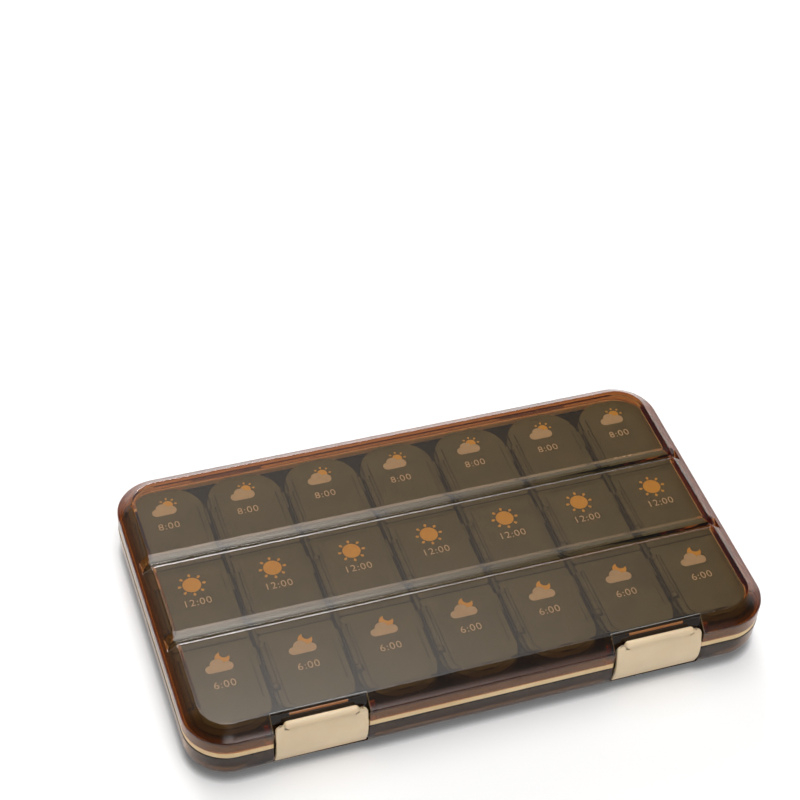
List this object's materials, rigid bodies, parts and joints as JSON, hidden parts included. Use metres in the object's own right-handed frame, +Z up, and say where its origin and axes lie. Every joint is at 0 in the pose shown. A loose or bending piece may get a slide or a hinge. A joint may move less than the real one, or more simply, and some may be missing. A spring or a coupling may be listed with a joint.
{
  "type": "weekly pill organizer",
  "caption": "Flat smoky clear case with cream snap latches, holding rows of lidded tablet cells in day boxes under one hinged lid.",
  "frame": {"origin": "middle of the flat underside of the case, on the surface it rests on", "axes": "+X along the row of seven days, +Y from the latches towards the hinges, +Z up"},
  "size_m": [0.2084, 0.1267, 0.025],
  "materials": {
    "smoky_shell": "clear smoky amber plastic, polished, thin walled",
    "smoky_box": "clear smoky brown plastic, polished inside and out",
    "smoky_cell_lid": "smoky brown plastic lid with a printed mark",
    "cream_latch": "cream beige moulded plastic with a soft sheen",
    "cream_seal": "cream silicone rubber, satin",
    "steel_pin": "plain drawn steel wire"
  },
  "bodies": {
    "base": {"outer_base": "smoky_shell", "seal_ring": "cream_seal", "hinge_pin_left": "steel_pin", "hinge_pin_right": "steel_pin", "latch_pin_left": "steel_pin", "latch_pin_right": "steel_pin", "day_box_1": "smoky_box", "day_box_2": "smoky_box", "day_box_3": "smoky_box", "day_box_4": "smoky_box", "day_box_5": "smoky_box", "day_box_6": "smoky_box", "day_box_7": "smoky_box"},
    "case_lid": {"outer_lid": "smoky_shell"},
    "latch_left": {"latch_left": "cream_latch"},
    "latch_right": {"latch_right": "cream_latch"},
    "cell_lid_1_evening": {"cell_lid_1_evening": "smoky_cell_lid"},
    "cell_lid_1_midday": {"cell_lid_1_midday": "smoky_cell_lid"},
    "cell_lid_1_morning": {"cell_lid_1_morning": "smoky_cell_lid"},
    "cell_lid_2_evening": {"cell_lid_2_evening": "smoky_cell_lid"},
    "cell_lid_2_midday": {"cell_lid_2_midday": "smoky_cell_lid"},
    "cell_lid_2_morning": {"cell_lid_2_morning": "smoky_cell_lid"},
    "cell_lid_3_evening": {"cell_lid_3_evening": "smoky_cell_lid"},
    "cell_lid_3_midday": {"cell_lid_3_midday": "smoky_cell_lid"},
    "cell_lid_3_morning": {"cell_lid_3_morning": "smoky_cell_lid"},
    "cell_lid_4_evening": {"cell_lid_4_evening": "smoky_cell_lid"},
    "cell_lid_4_midday": {"cell_lid_4_midday": "smoky_cell_lid"},
    "cell_lid_4_morning": {"cell_lid_4_morning": "smoky_cell_lid"},
    "cell_lid_5_evening": {"cell_lid_5_evening": "smoky_cell_lid"},
    "cell_lid_5_midday": {"cell_lid_5_midday": "smoky_cell_lid"},
    "cell_lid_5_morning": {"cell_lid_5_morning": "smoky_cell_lid"},
    "cell_lid_6_evening": {"cell_lid_6_evening": "smoky_cell_lid"},
    "cell_lid_6_midday": {"cell_lid_6_midday": "smoky_cell_lid"},
    "cell_lid_6_morning": {"cell_lid_6_morning": "smoky_cell_lid"},
    "cell_lid_7_evening": {"cell_lid_7_evening": "smoky_cell_lid"},
    "cell_lid_7_midday": {"cell_lid_7_midday": "smoky_cell_lid"},
    "cell_lid_7_morning": {"cell_lid_7_morning": "smoky_cell_lid"}
  },
  "joints": [
    {"name": "case_lid_hinge", "type": "hinge", "parent": "base", "child": "case_lid", "pos_m": [0, 0.06295, 0.0145], "axis": [-1, 0, 0], "range_deg": [0, 180]},
    {"name": "latch_left_hinge", "type": "hinge", "parent": "base", "child": "latch_left", "pos_m": [-0.06035, -0.05875, 0.0056], "axis": [1, 0, 0], "range_deg": [0, 95]},
    {"name": "latch_right_hinge", "type": "hinge", "parent": "base", "child": "latch_right", "pos_m": [0.06035, -0.05875, 0.0056], "axis": [1, 0, 0], "range_deg": [0, 95]},
    {"name": "cell_lid_1_evening_hinge", "type": "hinge", "parent": "base", "child": "cell_lid_1_evening", "pos_m": [-0.0996, -0.0323, 0.01875], "axis": [0, -1, 0], "range_deg": [0, 102]},
    {"name": "cell_lid_1_midday_hinge", "type": "hinge", "parent": "base", "child": "cell_lid_1_midday", "pos_m": [-0.0996, 0, 0.01875], "axis": [0, -1, 0], "range_deg": [0, 102]},
    {"name": "cell_lid_1_morning_hinge", "type": "hinge", "parent": "base", "child": "cell_lid_1_morning", "pos_m": [-0.0996, 0.0323, 0.01875], "axis": [0, -1, 0], "range_deg": [0, 102]},
    {"name": "cell_lid_2_evening_hinge", "type": "hinge", "parent": "base", "child": "cell_lid_2_evening", "pos_m": [-0.0706, -0.0323, 0.01875], "axis": [0, -1, 0], "range_deg": [0, 102]},
    {"name": "cell_lid_2_midday_hinge", "type": "hinge", "parent": "base", "child": "cell_lid_2_midday", "pos_m": [-0.0706, 0, 0.01875], "axis": [0, -1, 0], "range_deg": [0, 102]},
    {"name": "cell_lid_2_morning_hinge", "type": "hinge", "parent": "base", "child": "cell_lid_2_morning", "pos_m": [-0.0706, 0.0323, 0.01875], "axis": [0, -1, 0], "range_deg": [0, 102]},
    {"name": "cell_lid_3_evening_hinge", "type": "hinge", "parent": "base", "child": "cell_lid_3_evening", "pos_m": [-0.0416, -0.0323, 0.01875], "axis": [0, -1, 0], "range_deg": [0, 102]},
    {"name": "cell_lid_3_midday_hinge", "type": "hinge", "parent": "base", "child": "cell_lid_3_midday", "pos_m": [-0.0416, 0, 0.01875], "axis": [0, -1, 0], "range_deg": [0, 102]},
    {"name": "cell_lid_3_morning_hinge", "type": "hinge", "parent": "base", "child": "cell_lid_3_morning", "pos_m": [-0.0416, 0.0323, 0.01875], "axis": [0, -1, 0], "range_deg": [0, 102]},
    {"name": "cell_lid_4_evening_hinge", "type": "hinge", "parent": "base", "child": "cell_lid_4_evening", "pos_m": [-0.0126, -0.0323, 0.01875], "axis": [0, -1, 0], "range_deg": [0, 102]},
    {"name": "cell_lid_4_midday_hinge", "type": "hinge", "parent": "base", "child": "cell_lid_4_midday", "pos_m": [-0.0126, 0, 0.01875], "axis": [0, -1, 0], "range_deg": [0, 102]},
    {"name": "cell_lid_4_morning_hinge", "type": "hinge", "parent": "base", "child": "cell_lid_4_morning", "pos_m": [-0.0126, 0.0323, 0.01875], "axis": [0, -1, 0], "range_deg": [0, 102]},
    {"name": "cell_lid_5_evening_hinge", "type": "hinge", "parent": "base", "child": "cell_lid_5_evening", "pos_m": [0.0164, -0.0323, 0.01875], "axis": [0, -1, 0], "range_deg": [0, 102]},
    {"name": "cell_lid_5_midday_hinge", "type": "hinge", "parent": "base", "child": "cell_lid_5_midday", "pos_m": [0.0164, 0, 0.01875], "axis": [0, -1, 0], "range_deg": [0, 102]},
    {"name": "cell_lid_5_morning_hinge", "type": "hinge", "parent": "base", "child": "cell_lid_5_morning", "pos_m": [0.0164, 0.0323, 0.01875], "axis": [0, -1, 0], "range_deg": [0, 102]},
    {"name": "cell_lid_6_evening_hinge", "type": "hinge", "parent": "base", "child": "cell_lid_6_evening", "pos_m": [0.0454, -0.0323, 0.01875], "axis": [0, -1, 0], "range_deg": [0, 102]},
    {"name": "cell_lid_6_midday_hinge", "type": "hinge", "parent": "base", "child": "cell_lid_6_midday", "pos_m": [0.0454, 0, 0.01875], "axis": [0, -1, 0], "range_deg": [0, 102]},
    {"name": "cell_lid_6_morning_hinge", "type": "hinge", "parent": "base", "child": "cell_lid_6_morning", "pos_m": [0.0454, 0.0323, 0.01875], "axis": [0, -1, 0], "range_deg": [0, 102]},
    {"name": "cell_lid_7_evening_hinge", "type": "hinge", "parent": "base", "child": "cell_lid_7_evening", "pos_m": [0.0744, -0.0323, 0.01875], "axis": [0, -1, 0], "range_deg": [0, 102]},
    {"name": "cell_lid_7_midday_hinge", "type": "hinge", "parent": "base", "child": "cell_lid_7_midday", "pos_m": [0.0744, 0, 0.01875], "axis": [0, -1, 0], "range_deg": [0, 102]},
    {"name": "cell_lid_7_morning_hinge", "type": "hinge", "parent": "base", "child": "cell_lid_7_morning", "pos_m": [0.0744, 0.0323, 0.01875], "axis": [0, -1, 0], "range_deg": [0, 102]}
  ],
  "couplings": [
    {"joint": "cell_lid_1_evening_hinge", "follows": "case_lid_hinge", "ratio": 0.56},
    {"joint": "cell_lid_1_midday_hinge", "follows": "case_lid_hinge", "ratio": 0.56},
    {"joint": "cell_lid_1_morning_hinge", "follows": "case_lid_hinge", "ratio": 0.56},
    {"joint": "cell_lid_2_evening_hinge", "follows": "case_lid_hinge", "ratio": 0.56},
    {"joint": "cell_lid_2_midday_hinge", "follows": "case_lid_hinge", "ratio": 0.56},
    {"joint": "cell_lid_2_morning_hinge", "follows": "case_lid_hinge", "ratio": 0.56},
    {"joint": "cell_lid_3_evening_hinge", "follows": "case_lid_hinge", "ratio": 0.56},
    {"joint": "cell_lid_3_midday_hinge", "follows": "case_lid_hinge", "ratio": 0.56},
    {"joint": "cell_lid_3_morning_hinge", "follows": "case_lid_hinge", "ratio": 0.56},
    {"joint": "cell_lid_4_evening_hinge", "follows": "case_lid_hinge", "ratio": 0.56},
    {"joint": "cell_lid_4_midday_hinge", "follows": "case_lid_hinge", "ratio": 0.56},
    {"joint": "cell_lid_4_morning_hinge", "follows": "case_lid_hinge", "ratio": 0.56},
    {"joint": "cell_lid_5_evening_hinge", "follows": "case_lid_hinge", "ratio": 0.56},
    {"joint": "cell_lid_5_midday_hinge", "follows": "case_lid_hinge", "ratio": 0.56},
    {"joint": "cell_lid_5_morning_hinge", "follows": "case_lid_hinge", "ratio": 0.56},
    {"joint": "cell_lid_6_evening_hinge", "follows": "case_lid_hinge", "ratio": 0.56},
    {"joint": "cell_lid_6_midday_hinge", "follows": "case_lid_hinge", "ratio": 0.56},
    {"joint": "cell_lid_6_morning_hinge", "follows": "case_lid_hinge", "ratio": 0.56},
    {"joint": "cell_lid_7_evening_hinge", "follows": "case_lid_hinge", "ratio": 0.56},
    {"joint": "cell_lid_7_midday_hinge", "follows": "case_lid_hinge", "ratio": 0.56},
    {"joint": "cell_lid_7_morning_hinge", "follows": "case_lid_hinge", "ratio": 0.56}
  ]
}
